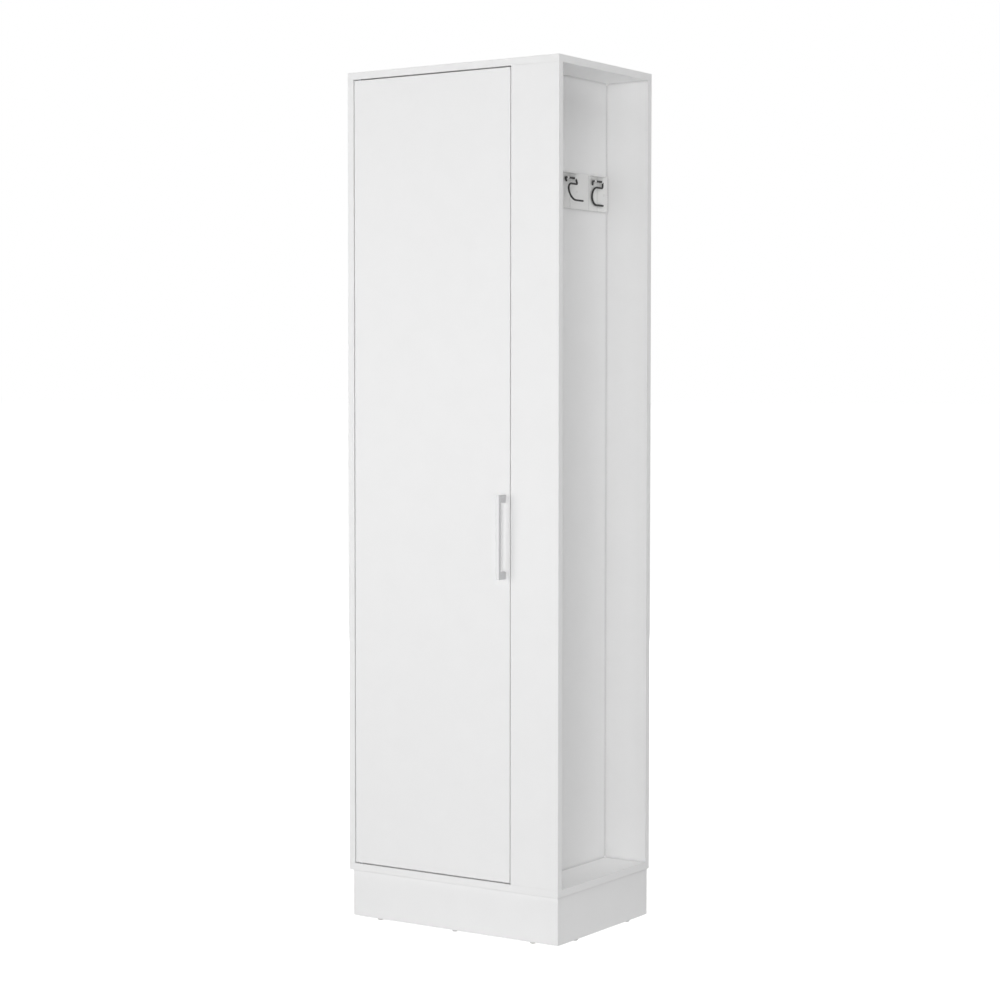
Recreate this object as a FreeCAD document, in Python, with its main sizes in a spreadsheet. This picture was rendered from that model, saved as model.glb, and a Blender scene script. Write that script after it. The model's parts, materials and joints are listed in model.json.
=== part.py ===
import FreeCAD, Part
import math
import os
import Sketcher
from FreeCAD import Vector

# A tall, narrow broom cupboard of melamine board on a plinth.  An inset door closes a shelved inside.
# Beside it, behind a fixed filler panel, an open bay faces right and carries two swinging broom grips.
#
# Frame: millimetres, +Z up, +Y to the back, +X to the right when seen from the front.  The origin is on
# the floor, at the middle of the overall width and of the overall depth with the handle.
# Most sub-parts are drawn from the cupboard's front left corner at floor level, and then set in place.

SIZES = [
    # carcass
    ("CabinetWidth", 530, "over both outer faces"),
    ("CabinetDepth", 367, "front face to the back of the back panel"),
    ("BodyHeight", 1700, "from under the bottom panel to the top of the top panel"),
    ("BoardThickness", 15, "melamine-faced particle board, all panels"),
    ("FillerWidth", 115, "fixed front panel that hides the side bay"),
    ("PartitionLead", 2, "partition past the filler's left edge, inside the door gap"),
    # plinth and glides
    ("PlinthHeight", 100, "rails, without the glides"),
    ("PlinthSideInset", 5, "left and right"),
    ("PlinthFrontInset", 8, "front only, the back is flush"),
    ("CornerBlockLeg", 40, "triangular block in each plinth corner"),
    ("CornerBlockHeight", 60, "down from the bottom panel"),
    ("GlideDiameter", 13, "where it meets the rail"),
    ("GlideHeight", 4, "lifts the plinth off the floor"),
    ("GlideTaper", 15, "degrees"),
    ("GlideFromSide", 71, "front rail, outer glides to the outer face"),
    ("GlideFromFront", 87, "side rails, front glide to the front face"),
    ("GlideFromBack", 72, "side rails, back glide to the back face"),
    # shelves
    ("ShelfSetback", 25, "behind the door's inner face"),
    ("ShelfEndClearance", 1, "each end of an adjustable shelf"),
    ("PinDiameter", 5, "shelf pin and its hole"),
    ("PinDepth", 9, "in the panel"),
    ("PinReach", 9, "under the shelf"),
    ("PinHoleDepth", 10, "blind"),
    ("PinRowFront", 80, "front pin row from the front face"),
    ("PinRowFromBack", 40, "back pin row from the back panel"),
    # joints
    ("FitClearance", 0.1, "all round a glued or screwed piece in its hole"),
    ("SplineThickness", 4, "loose plywood tongue, glued into both boards"),
    ("SplineDepth", 8, "tongue in each board"),
    ("SplineStop", 20, "tongue's ends short of the boards' edges"),
    # door, pivots and catches
    ("DoorGap", 2.5, "round all four edges"),
    ("DoorEdgeRadius", 0.8, "plastic edge band, front edges"),
    ("PivotInset", 10, "pivot axis from the door's hanging edge"),
    ("PivotDiameter", 6, "steel pin"),
    ("PivotGrip", 25, "pin in the door"),
    ("PivotReach", 8, "pin in its bush"),
    ("PivotClearance", 0.05, "running fit, on the radius"),
    ("ThrustGap", 0.3, "between the pin's end and the bush's floor"),
    ("BushDiameter", 9, "nylon bush in the panel"),
    ("BushDepth", 10, "in the panel"),
    ("CatchWidth", 13, "magnetic catch, out from the partition"),
    ("CatchDepth", 24, "front to back"),
    ("CatchHeight", 46, "along the partition"),
    ("MagnetWidth", 7, "magnet between its poles"),
    ("MagnetHeight", 34, "along the catch"),
    ("MagnetDepth", 14, "into the catch"),
    ("CatchGap", 0.3, "magnet to strike plate, door shut"),
    ("StrikeThickness", 1.2, "steel strike plate on the door"),
    ("StrikeWidth", 11, "across the door"),
    ("StrikeHeight", 38, "along the door"),
    ("CatchFromEnd", 250, "each catch from the bottom or the top panel"),
    # handle
    ("HandleLength", 172.5, "over both posts"),
    ("HandleWidth", 8, "across the bar"),
    ("HandleBarThickness", 7, "front to back"),
    ("HandleProjection", 25.5, "out from the door"),
    ("HandlePostLength", 15.5, "along the bar"),
    ("HandleEdgeRadius", 0.8, "all long edges"),
    ("HandleInset", 14, "handle's middle from the door's free edge"),
    ("HandleRise", 712, "handle's middle above the door's lower edge"),
    ("HandleScrewDiameter", 4, "machine screw"),
    ("HandleScrewGrip", 9, "screw in the post"),
    ("HandleScrewHeadDiameter", 8, "flat round head inside the door"),
    ("HandleScrewHeadHeight", 2.2, "stands on the door's inner face"),
    # broom grips
    ("RailFromBack", 3, "rear end of the grip rail to the back panel"),
    ("RailLength", 184, "front to back"),
    ("RailDrop", 200, "upper edge under the top panel"),
    ("RailHeight", 75, "upright"),
    ("RailThickness", 3, "moulded plate"),
    ("RailCorner", 3, "rounded corners"),
    ("RailGrooveWidth", 1, "shadow grooves down the rail"),
    ("RailGrooveDepth", 0.8, "shadow grooves"),
    ("RailGrooveFromGrip", 25, "groove behind each grip, from its front end"),
    ("GripFromEnd", 9, "first grip's front end from the rail's front end"),
    ("GripPitch", 109, "from grip to grip"),
    ("GripAxisHeight", 63, "swing axis above the rail's lower edge"),
    ("GripAxisReach", 7.5, "swing axis from the partition"),
    ("WireDiameter", 4, "coated steel wire"),
    ("WireBend", 3, "centre line radius of the small bends"),
    ("GripBarLength", 41, "axle bar, between bends' outer centre lines"),
    ("GripLip", 9.5, "front end, down from the axle bar"),
    ("GripDrop", 12.9, "axle bar to the upper arm"),
    ("GripBowRadius", 18.4, "centre line of the bow"),
    ("GripArmReach", 46, "free end of the lower arm from the front"),
    ("GripFrontTilt", 17.4, "degrees out from the wall, front grip at rest"),
    ("GripRearTilt", -2.4, "degrees, rear grip folded back"),
    ("KnuckleWall", 1.3, "plastic round the wire"),
    ("KnuckleClearance", 0.08, "on the radius"),
    ("KnuckleStart", 5.7, "wide knuckle from the grip's front end"),
    ("KnuckleWidth", 5.7, "wide knuckle"),
    ("EndKnuckleStart", 35, "narrow knuckle from the grip's front end"),
    ("EndKnuckleWidth", 3, "narrow knuckle"),
    ("LedgeReach", 14.5, "ledge above the grip, from the partition"),
    ("LedgeThickness", 1.6, "ledge"),
    ("LedgeDrop", 0.8, "ledge's top under the rail's upper edge"),
    ("LedgeLength", 52, "ledge over one grip"),
    ("RailScrewFromGrip", 53, "screws from the grip's front end"),
    ("RailScrewRise", 36, "screws above the rail's lower edge"),
    ("RailScrewDiameter", 3, "countersunk screw"),
    ("RailScrewHeadDiameter", 6, "its head"),
    ("RailScrewGrip", 11, "into the partition"),
]

COMPARTMENTS = 4
FIXED_SHELF = 2
LOOSE_SHELVES = (("lower_shelf", 1), ("upper_shelf", 3))

# Small round pieces that repeat are drawn with flat sides, which keeps the model light.
SMALL_ROUND_SIDES = 12
WIRE_SIDES = 10

LAYOUT = [
    ("CabinetLeft", "-Sizes.CabinetWidth / 2"),
    ("CabinetFront", "(Sizes.HandleProjection - Sizes.CabinetDepth) / 2"),
    ("BodyBase", "Sizes.GlideHeight + Sizes.PlinthHeight"),
    ("InnerFloor", "BodyBase + Sizes.BoardThickness"),
    ("InnerHeight", "Sizes.BodyHeight - 2 * Sizes.BoardThickness"),
    ("InnerCeiling", "InnerFloor + InnerHeight"),
    ("BoxDepth", "Sizes.CabinetDepth - Sizes.BoardThickness"),
    ("HalfBoard", "Sizes.BoardThickness / 2"),
    ("FillerLeft", "Sizes.CabinetWidth - Sizes.FillerWidth"),
    ("PartitionLeft", "FillerLeft - Sizes.PartitionLead"),
    ("PartitionMiddle", "PartitionLeft + HalfBoard"),
    ("PartitionRight", "PartitionLeft + Sizes.BoardThickness"),
    ("InnerWidth", "PartitionLeft - Sizes.BoardThickness"),
    ("PlinthWidth", "Sizes.CabinetWidth - 2 * Sizes.PlinthSideInset"),
    ("PlinthInnerLeft", "Sizes.PlinthSideInset + Sizes.BoardThickness"),
    ("PlinthInnerFront", "Sizes.PlinthFrontInset + Sizes.BoardThickness"),
    ("PlinthInnerWidth", "PlinthWidth - 2 * Sizes.BoardThickness"),
    ("ShelfFront", "Sizes.BoardThickness + Sizes.ShelfSetback"),
    ("ShelfDepth", "BoxDepth - ShelfFront"),
    ("ShelfWidth", "InnerWidth - 2 * Sizes.ShelfEndClearance"),
    ("PinRowBack", "BoxDepth - Sizes.PinRowFromBack"),
    ("ShelfPitch", f"(InnerHeight + Sizes.BoardThickness) / {COMPARTMENTS}"),
    ("DoorLeft", "Sizes.BoardThickness + Sizes.DoorGap"),
    ("DoorWidth", "FillerLeft - Sizes.DoorGap - DoorLeft"),
    ("DoorBase", "InnerFloor + Sizes.DoorGap"),
    ("DoorHeight", "InnerHeight - 2 * Sizes.DoorGap"),
    ("PivotX", "DoorLeft + Sizes.PivotInset"),
    ("HandleX", "DoorLeft + DoorWidth - Sizes.HandleInset"),
    ("HandleBase", "DoorBase + Sizes.HandleRise - Sizes.HandleLength / 2"),
    ("CatchFront", "Sizes.BoardThickness + Sizes.StrikeThickness + Sizes.CatchGap"),
    ("RailStart", "BoxDepth - Sizes.RailFromBack - Sizes.RailLength"),
    ("RailBase", "InnerCeiling - Sizes.RailDrop - Sizes.RailHeight"),
    ("KnuckleRadius", "Sizes.WireDiameter / 2 + Sizes.KnuckleWall"),
    ("KnuckleBore", "Sizes.WireDiameter + 2 * Sizes.KnuckleClearance"),
]

# Which way each plane's sketch normal points along the positive axis.
FACING = {"XY_Plane": 1, "XZ_Plane": -1, "YZ_Plane": 1}
TOUCHING = 1e-6

# Where new outlines are drawn before their dimensions place them.
ROUGH_MIDDLE = Vector(20, 20, 0)
ROUGH_RADIUS = 10

doc = FreeCAD.newDocument("BroomCupboard")
nodes = []
corners = {}


def fillSheet(name, rows):
    sheet = doc.addObject("Spreadsheet::Sheet", name)
    for row, (alias, content, *note) in enumerate(rows, start=1):
        sheet.set(f"A{row}", alias)
        sheet.set(f"B{row}", str(content))
        sheet.setAlias(f"B{row}", alias)
        sheet.set(f"C{row}", "".join(note))
    doc.recompute()
    return sheet


sizes = fillSheet("Sizes", SIZES)
layout = fillSheet("Layout", [(alias, "=" + formula) for alias, formula in LAYOUT])


def newBody(label):
    body = doc.addObject("PartDesign::Body", label)
    body.AllowCompound = True
    nodes.append(body)
    return body


def setPlace(feature, x, y, z):
    """Sets a sub-part from the cupboard's front left corner on the floor."""
    feature.setExpression("Placement.Base.x", f"Layout.CabinetLeft + {x}")
    feature.setExpression("Placement.Base.y", f"Layout.CabinetFront + {y}")
    feature.setExpression("Placement.Base.z", z)


def newSketch(body, label, role, offset="0", centre=("0", "0")):
    """Opens a sketch on one of the body's own planes, moved along the positive axis by offset.

    The sketch's own origin lies at centre on that plane."""
    plane = next(item for item in body.Origin.OriginFeatures if item.Role == role)
    sketch = body.newObject("Sketcher::SketchObject", label)
    sketch.AttachmentSupport = (plane, [""])
    sketch.MapMode = "FlatFace"
    sketch.setExpression("AttachmentOffset.Base.x", centre[0])
    sketch.setExpression("AttachmentOffset.Base.y", centre[1])
    sketch.setExpression("AttachmentOffset.Base.z", f"{FACING[role]} * ({offset})")
    return sketch


def dimension(sketch, constraint, name, expression):
    index = sketch.addConstraint(constraint)
    sketch.renameConstraint(index, name)
    sketch.setExpression("Constraints." + name, expression)


def fixPoint(sketch, geometry, point, name, x, y):
    """Dimensions a point from the sketch's origin; a "0" puts it on the axis."""
    start = sketch.getPoint(geometry, point)
    for axis, ordinate, expression, guide in (("X", start.x, x, -2), ("Y", start.y, y, -1)):
        if expression == "0":
            sketch.addConstraint(Sketcher.Constraint("PointOnObject", geometry, point, guide))
        else:
            constraint = Sketcher.Constraint("Distance" + axis, -1, 1, geometry, point, ordinate)
            dimension(sketch, constraint, name + axis, expression)


def ring(count, radius):
    turns = [2 * math.pi * index / count for index in range(count)]
    return [Vector(math.cos(turn), math.sin(turn), 0) * radius for turn in turns]


def polygon(sketch, points):
    """A closed outline, alone or beside others in one sketch.

    Its corners start on a small ring, and the dimensions carry them to their places."""
    first = sketch.GeometryCount
    count = len(points)
    starts = [ROUGH_MIDDLE + corner for corner in ring(count, ROUGH_RADIUS)]
    for index, start in enumerate(starts):
        sketch.addGeometry(Part.LineSegment(start, starts[(index + 1) % count]), False)
    for index, (x, y) in enumerate(points):
        line = first + index
        sketch.addConstraint(Sketcher.Constraint("Coincident", line, 2, first + (index + 1) % count, 1))
        fixPoint(sketch, line, 1, f"Corner{line}", x, y)


def rectangle(sketch, width, height, left="0", base="0"):
    right = f"{left} + {width}"
    top = f"{base} + {height}"
    polygon(sketch, [(left, base), (right, base), (right, top), (left, top)])


def circles(sketch, centres, diameter):
    start = Part.Circle(ROUGH_MIDDLE, Vector(0, 0, 1), ROUGH_RADIUS)
    for index, (x, y) in enumerate(centres):
        circle = sketch.addGeometry(start, False)
        fixPoint(sketch, circle, 3, f"Centre{index}", x, y)
        dimension(sketch, Sketcher.Constraint("Diameter", circle, 2 * ROUGH_RADIUS), f"Diameter{index}",
                  diameter)


def pad(body, sketch, role, length, toward=1, taper=None):
    feature = body.newObject("PartDesign::Pad", sketch.Name + "Pad")
    feature.Profile = sketch
    feature.setExpression("Length", length)
    feature.Reversed = toward != FACING[role]
    if taper is not None:
        feature.setExpression("TaperAngle", taper)
    sketch.Visibility = False
    return feature


def pocket(body, sketch, role, length, toward, taper=None):
    feature = body.newObject("PartDesign::Pocket", sketch.Name + "Pocket")
    feature.Profile = sketch
    feature.setExpression("Length", length)
    feature.Reversed = toward == FACING[role]
    if taper is not None:
        feature.setExpression("TaperAngle", taper)
    sketch.Visibility = False
    return feature


def board(label, role, width, height, place):
    """A plain board: its face in the given plane, its thickness along the positive axis."""
    body = newBody(label)
    sketch = newSketch(body, label + "_face", role)
    rectangle(sketch, width, height)
    pad(body, sketch, role, "Sizes.BoardThickness")
    setPlace(body, *place)
    corners[body.Name] = place
    return body


def roundEdges(body, label, chosen, radius):
    """Fillets those edges of the body's last feature that chosen accepts."""
    doc.recompute()
    base = body.Tip
    names = [f"Edge{number}" for number, edge in enumerate(base.Shape.Edges, start=1) if chosen(edge)]
    rounding = body.newObject("PartDesign::Fillet", label)
    rounding.Base = (base, names)
    rounding.setExpression("Radius", radius)


def onFront(edge):
    """An edge of the body's own front face."""
    return all(abs(vertex.Y) < TOUCHING for vertex in edge.Vertexes)


def alongX(edge):
    return abs(edge.tangentAt(edge.FirstParameter).x) > 0.99


def drill(body, label, role, offset, centres, diameter, depth, toward, taper=None):
    sketch = newSketch(body, label, role, offset)
    circles(sketch, centres, diameter)
    return pocket(body, sketch, role, depth, toward, taper)


def rods(body, label, role, offset, centres, diameter, length, toward=1, taper=None):
    """Round pads, one at each centre."""
    sketch = newSketch(body, label, role, offset)
    circles(sketch, centres, diameter)
    return pad(body, sketch, role, length, toward, taper)


def facetedCircle(sketch, sides, diameter):
    """A regular outline round the sketch's origin, its corners on a circle of the named diameter."""
    radius = getattr(sizes, diameter) / 2
    points = ring(sides, radius)
    circle = sketch.addGeometry(Part.Circle(Vector(0, 0, 0), Vector(0, 0, 1), radius), True)
    sketch.addConstraint(Sketcher.Constraint("Coincident", circle, 3, -1, 1))
    dimension(sketch, Sketcher.Constraint("Diameter", circle, 2 * radius), "Across", "Sizes." + diameter)
    lines = [sketch.addGeometry(Part.LineSegment(point, points[(index + 1) % sides]), False)
             for index, point in enumerate(points)]
    for index, line in enumerate(lines):
        following = lines[(index + 1) % sides]
        sketch.addConstraint(Sketcher.Constraint("Coincident", line, 2, following, 1))
        sketch.addConstraint(Sketcher.Constraint("PointOnObject", line, 1, circle))
        if index:
            sketch.addConstraint(Sketcher.Constraint("Equal", lines[0], line))
    sketch.addConstraint(Sketcher.Constraint("PointOnObject", lines[0], 1, -1))


def facetedRods(body, label, role, offset, centres, diameter, length, toward=1, taper=None):
    for index, centre in enumerate(centres, start=1):
        sketch = newSketch(body, f"{label}_{index}", role, offset, centre)
        facetedCircle(sketch, SMALL_ROUND_SIDES, diameter)
        pad(body, sketch, role, length, toward, taper)


def moved(centres, x="0", y="0"):
    """The same centres seen from a corner that lies at x, y."""
    return [(f"{across} - ({x})", f"{along} - ({y})") for across, along in centres]


def loose(diameter):
    return f"{diameter} + 2 * Sizes.FitClearance"


# A 90 degree countersink is as deep as its radius loses.
COUNTERSINK_DEPTH = "(Sizes.RailScrewHeadDiameter - Sizes.RailScrewDiameter) / 2"
PIVOT_CENTRE = [("Layout.PivotX", "Layout.HalfBoard")]
SHELF_BASES = {step: f"Layout.InnerFloor + {step} * Layout.ShelfPitch - Sizes.BoardThickness"
               for step in range(1, COMPARTMENTS)}
PIN_CENTRES = [(row, f"{SHELF_BASES[step]} - Sizes.PinDiameter / 2")
               for row in ("Sizes.PinRowFront", "Layout.PinRowBack") for name, step in LOOSE_SHELVES]
GLIDE_ACROSS = ("Sizes.GlideFromSide", "Sizes.CabinetWidth / 2", "Sizes.CabinetWidth - Sizes.GlideFromSide")
GLIDE_ALONG = ("Sizes.GlideFromFront", "Sizes.CabinetDepth - Sizes.GlideFromBack")


def endPanel(label, depth, base, inward):
    """Top or bottom panel, with the hole for the pivot bush in its inner face."""
    panel = board(label, "XY_Plane", "Sizes.CabinetWidth", depth, ("0", "0", base))
    face = "0" if inward == 1 else "Sizes.BoardThickness"
    drill(panel, label + "_pivot", "XY_Plane", face, PIVOT_CENTRE, loose("Sizes.BushDiameter"),
          "Sizes.BushDepth + Sizes.FitClearance", inward)


def upright(label, left, front, inner, inward):
    """Side panel or partition, with shelf pin holes in its inner face."""
    panel = board(label, "YZ_Plane", f"Layout.BoxDepth - {front}", "Layout.InnerHeight",
                  (left, front, "Layout.InnerFloor"))
    drill(panel, label + "_pins", "YZ_Plane", inner, moved(PIN_CENTRES, front, "Layout.InnerFloor"),
          loose("Sizes.PinDiameter"), "Sizes.PinHoleDepth", inward)
    return panel


def makeCarcass():
    endPanel("top_panel", "Sizes.CabinetDepth", "Layout.InnerCeiling", 1)
    endPanel("bottom_panel", "Layout.BoxDepth", "Layout.BodyBase", -1)
    upright("left_side_panel", "0", "0", "Sizes.BoardThickness", -1)
    partition = upright("partition_panel", "Layout.PartitionLeft", "Sizes.BoardThickness", "0", 1)
    drill(partition, "partition_rail_screws", "YZ_Plane", "Sizes.BoardThickness",
          moved(railScrewCentres(), "Sizes.BoardThickness", "Layout.InnerFloor"),
          loose("Sizes.RailScrewDiameter"), "Sizes.RailScrewGrip + Sizes.FitClearance", -1)
    board("front_filler_panel", "XZ_Plane", "Sizes.FillerWidth", "Layout.InnerHeight",
          ("Layout.FillerLeft", "0", "Layout.InnerFloor"))
    board("back_panel", "XZ_Plane", "Sizes.CabinetWidth", "Layout.InnerCeiling - Layout.BodyBase",
          ("0", "Layout.BoxDepth", "Layout.BodyBase"))


def makePlinth():
    railHeight = "Sizes.PlinthHeight"
    base = "Sizes.GlideHeight"
    sideDepth = "Sizes.CabinetDepth - Layout.PlinthInnerFront"
    rightRail = "Layout.PlinthInnerLeft + Layout.PlinthInnerWidth"
    board("plinth_front_rail", "XZ_Plane", "Layout.PlinthWidth", railHeight,
          ("Sizes.PlinthSideInset", "Sizes.PlinthFrontInset", base))
    board("plinth_left_rail", "YZ_Plane", sideDepth, railHeight,
          ("Sizes.PlinthSideInset", "Layout.PlinthInnerFront", base))
    board("plinth_right_rail", "YZ_Plane", sideDepth, railHeight,
          (rightRail, "Layout.PlinthInnerFront", base))
    board("plinth_back_rail", "XZ_Plane", "Layout.PlinthInnerWidth", railHeight,
          ("Layout.PlinthInnerLeft", "Layout.BoxDepth", base))

    frontRow = "Sizes.PlinthFrontInset + Layout.HalfBoard"
    centres = [(across, frontRow) for across in GLIDE_ACROSS]
    centres += [(across, along) for along in GLIDE_ALONG
                for across in ("Sizes.PlinthSideInset + Layout.HalfBoard", f"{rightRail} + Layout.HalfBoard")]
    centres.append(("Sizes.CabinetWidth / 2", "Layout.BoxDepth + Layout.HalfBoard"))
    glides = newBody("floor_glides")
    facetedRods(glides, "glide", "XY_Plane", base, centres, "GlideDiameter", "Sizes.GlideHeight", -1,
                "-Sizes.GlideTaper")
    setPlace(glides, "0", "0", "0")

    blocks = newBody("plinth_corner_blocks")
    width = "Layout.PlinthInnerWidth"
    depth = "(Layout.BoxDepth - Layout.PlinthInnerFront)"
    leg = "Sizes.CornerBlockLeg"
    triangles = ([("0", "0"), (leg, "0"), ("0", leg)],
                 [(width, "0"), (width, leg), (f"{width} - {leg}", "0")],
                 [(width, depth), (f"{width} - {leg}", depth), (width, f"{depth} - {leg}")],
                 [("0", depth), ("0", f"{depth} - {leg}"), (leg, depth)])
    plan = newSketch(blocks, "corner_block_plan", "XY_Plane")
    for points in triangles:
        polygon(plan, points)
    pad(blocks, plan, "XY_Plane", "Sizes.CornerBlockHeight")
    setPlace(blocks, "Layout.PlinthInnerLeft", "Layout.PlinthInnerFront",
             "Layout.BodyBase - Sizes.CornerBlockHeight")


def makeShelves():
    board("fixed_shelf", "XY_Plane", "Layout.InnerWidth", "Layout.ShelfDepth",
          ("Sizes.BoardThickness", "Layout.ShelfFront", SHELF_BASES[FIXED_SHELF]))
    for name, step in LOOSE_SHELVES:
        board(name, "XY_Plane", "Layout.ShelfWidth", "Layout.ShelfDepth - Sizes.ShelfEndClearance",
              ("Sizes.BoardThickness + Sizes.ShelfEndClearance", "Layout.ShelfFront", SHELF_BASES[step]))
    pins = newBody("shelf_pins")
    length = "Sizes.PinDepth + Sizes.PinReach"
    facetedRods(pins, "left_pin", "YZ_Plane", "Sizes.BoardThickness - Sizes.PinDepth", PIN_CENTRES,
                "PinDiameter", length)
    facetedRods(pins, "right_pin", "YZ_Plane", "Layout.PartitionLeft + Sizes.PinDepth", PIN_CENTRES,
                "PinDiameter", length, -1)
    setPlace(pins, "0", "0", "0")


def boxFeature(body, kind, label, start, extent, margin):
    feature = body.newObject("PartDesign::" + kind, label)
    for axis, ordinate in zip("xyz", start):
        feature.setExpression("Placement.Base." + axis, f"{ordinate} - {margin}")
    for side, length in zip(("Length", "Width", "Height"), extent):
        feature.setExpression(side, f"{length} + 2 * {margin}")


def makeSplines():
    """Loose tongues that join the boards, and the groove of each in both of its boards."""
    splines = newBody("joint_splines")
    thick, deep, stop = "Sizes.SplineThickness", "Sizes.SplineDepth", "Sizes.SplineStop"
    half = f"{thick} / 2"
    both = f"2 * {deep}"
    behind = f"Layout.BoxDepth - {deep}"
    whole = f"Sizes.CabinetWidth - 2 * {stop}"
    joints = []
    for panel, level in (("bottom_panel", "Layout.InnerFloor"), ("top_panel", "Layout.InnerCeiling")):
        for side, middle, front in (("left_side_panel", "Layout.HalfBoard", "0"),
                                    ("partition_panel", "Layout.PartitionMiddle", "Sizes.BoardThickness")):
            joints.append((panel, side,
                           (f"{middle} - {half}", f"{front} + {stop}", f"{level} - {deep}"),
                           (thick, f"Layout.BoxDepth - {front} - 2 * {stop}", both)))
        joints.append((panel, "front_filler_panel",
                       (f"Layout.FillerLeft + {stop}", f"Layout.HalfBoard - {half}", f"{level} - {deep}"),
                       (f"Sizes.FillerWidth - 2 * {stop}", thick, both)))
    for side, face, middle in (("left_side_panel", "Sizes.BoardThickness", "Layout.HalfBoard"),
                               ("partition_panel", "Layout.PartitionLeft", "Layout.PartitionMiddle")):
        joints.append(("fixed_shelf", side,
                       (f"{face} - {deep}", f"Layout.ShelfFront + {stop}",
                        f"{SHELF_BASES[FIXED_SHELF]} + Layout.HalfBoard - {half}"),
                       (both, f"Layout.ShelfDepth - 2 * {stop}", thick)))
        joints.append(("back_panel", side,
                       (f"{middle} - {half}", behind, f"Layout.InnerFloor + {stop}"),
                       (thick, both, f"Layout.InnerHeight - 2 * {stop}")))
    joints.append(("back_panel", "bottom_panel",
                   (stop, behind, f"Layout.BodyBase + Layout.HalfBoard - {half}"),
                   (whole, both, thick)))
    joints.append(("back_panel", "top_panel",
                   (stop, f"Layout.BoxDepth + Layout.HalfBoard - {half}", f"Layout.InnerCeiling - {deep}"),
                   (whole, thick, both)))
    for first, second, start, extent in joints:
        name = f"{first}_to_{second}"
        boxFeature(splines, "AdditiveBox", name, start, extent, "0")
        for label in (first, second):
            local = [f"{ordinate} - ({corner})" for ordinate, corner in zip(start, corners[label])]
            boxFeature(doc.getObject(label), "SubtractiveBox", f"{label}_{name}_groove", local, extent,
                       "Sizes.FitClearance")
    setPlace(splines, "0", "0", "0")


def makeDoor():
    door = board("door_panel", "XZ_Plane", "Layout.DoorWidth", "Layout.DoorHeight",
                 ("Layout.DoorLeft", "0", "Layout.DoorBase"))
    roundEdges(door, "door_edge_band", onFront, "Sizes.DoorEdgeRadius")
    pivot = [("Sizes.PivotInset", "Layout.HalfBoard")]
    for end, offset, toward in (("base", "0", 1), ("head", "Layout.DoorHeight", -1)):
        drill(door, f"door_{end}_pivot", "XY_Plane", offset, pivot, loose("Sizes.PivotDiameter"),
              "Sizes.PivotGrip + Sizes.FitClearance", toward)
    drill(door, "door_handle_holes", "XZ_Plane", "0",
          moved(handleScrewCentres(), "Layout.DoorLeft", "Layout.DoorBase"),
          loose("Sizes.HandleScrewDiameter"), "Sizes.BoardThickness", 1)

    pins = newBody("door_pivot_pins")
    bushes = newBody("pivot_bushes")
    doorTop = "Layout.DoorBase + Layout.DoorHeight"
    bore = "Sizes.PivotDiameter + 2 * Sizes.PivotClearance"
    for end, edge, panel, outward in (("base", "Layout.DoorBase", "Layout.InnerFloor", -1),
                                      ("head", doorTop, "Layout.InnerCeiling", 1)):
        rods(pins, end + "_pin", "XY_Plane", f"{edge} - {outward} * Sizes.PivotGrip", PIVOT_CENTRE,
             "Sizes.PivotDiameter", "Sizes.PivotGrip + Sizes.DoorGap + Sizes.PivotReach", outward)
        rods(bushes, end + "_bush", "XY_Plane", panel, PIVOT_CENTRE, "Sizes.BushDiameter",
             "Sizes.BushDepth", outward)
        drill(bushes, end + "_bore", "XY_Plane", panel, PIVOT_CENTRE, bore,
              "Sizes.PivotReach + Sizes.ThrustGap", outward)
    setPlace(pins, "0", "0", "0")
    setPlace(bushes, "0", "0", "0")


def makeHandle():
    handle = newBody("pull_handle")
    side = newSketch(handle, "handle_side", "YZ_Plane")
    out, bar, post, length = ("Sizes.HandleProjection", "Sizes.HandleBarThickness",
                              "Sizes.HandlePostLength", "Sizes.HandleLength")
    polygon(side, [("0", "0"), (out, "0"), (out, post), (bar, post), (bar, f"{length} - {post}"),
                   (out, f"{length} - {post}"), (out, length), ("0", length)])
    pad(handle, side, "YZ_Plane", "Sizes.HandleWidth")
    roundEdges(handle, "handle_edges", onFront, "Sizes.HandleEdgeRadius")
    centres = [("Sizes.HandleWidth / 2", "Sizes.HandlePostLength / 2"),
               ("Sizes.HandleWidth / 2", "Sizes.HandleLength - Sizes.HandlePostLength / 2")]
    drill(handle, "handle_threads", "XZ_Plane", "Sizes.HandleProjection", centres,
          loose("Sizes.HandleScrewDiameter"), "Sizes.HandleScrewGrip + Sizes.FitClearance", -1)
    setPlace(handle, "Layout.HandleX - Sizes.HandleWidth / 2", "-Sizes.HandleProjection",
             "Layout.HandleBase")

    screws = newBody("handle_screws")
    rods(screws, "handle_screw_shanks", "XZ_Plane", "Sizes.BoardThickness", handleScrewCentres(),
         "Sizes.HandleScrewDiameter", "Sizes.BoardThickness + Sizes.HandleScrewGrip", -1)
    rods(screws, "handle_screw_heads", "XZ_Plane", "Sizes.BoardThickness", handleScrewCentres(),
         "Sizes.HandleScrewHeadDiameter", "Sizes.HandleScrewHeadHeight")
    setPlace(screws, "0", "0", "0")


def handleScrewCentres():
    half = "Sizes.HandlePostLength / 2"
    return [("Layout.HandleX", f"Layout.HandleBase + {half}"),
            ("Layout.HandleX", f"Layout.HandleBase + Sizes.HandleLength - {half}")]


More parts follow.
